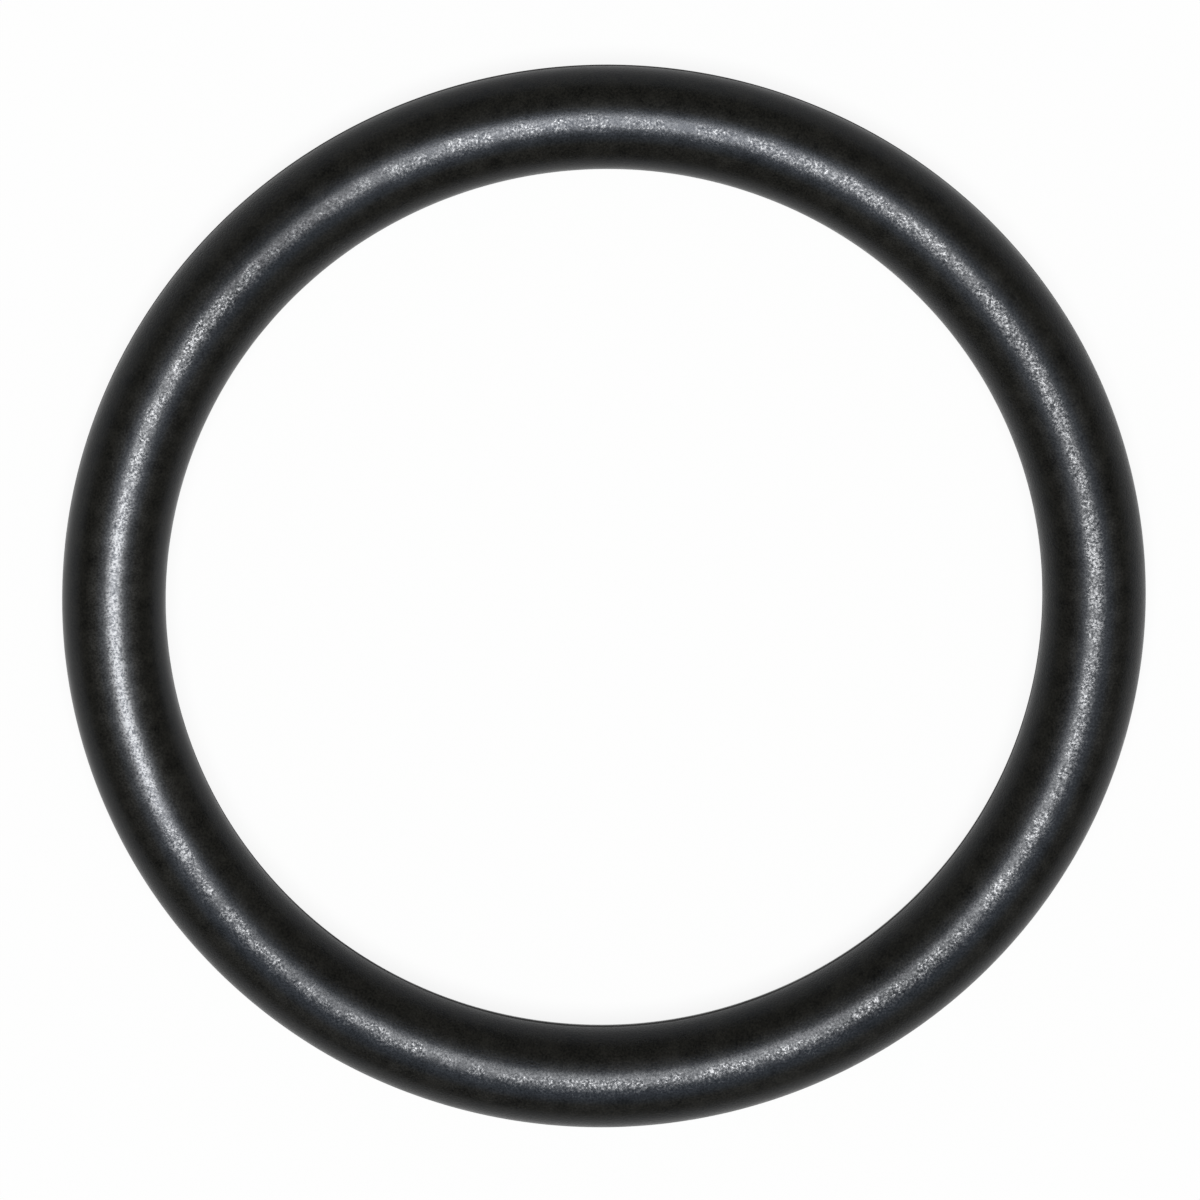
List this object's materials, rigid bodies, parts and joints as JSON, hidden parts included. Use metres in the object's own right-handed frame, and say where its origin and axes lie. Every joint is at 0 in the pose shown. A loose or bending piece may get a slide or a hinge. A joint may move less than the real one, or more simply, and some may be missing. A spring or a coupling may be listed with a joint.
{
  "type": "rubber o-ring",
  "caption": "Round black rubber sealing ring with a circular section and flush-trimmed parting lines, for a groove, shaft or flange.",
  "frame": {"origin": "centre of the ring, on its axis, halfway up the section in the mould's parting plane", "axes": "+Z along the ring's axis, upward as it lies flat; X and Y lie in the plane of the ring"},
  "size_m": [0.037, 0.037, 0.0036],
  "materials": {
    "nitrile_rubber": "satin"
  },
  "bodies": {
    "root": {"o_ring": "nitrile_rubber"}
  },
  "joints": []
}
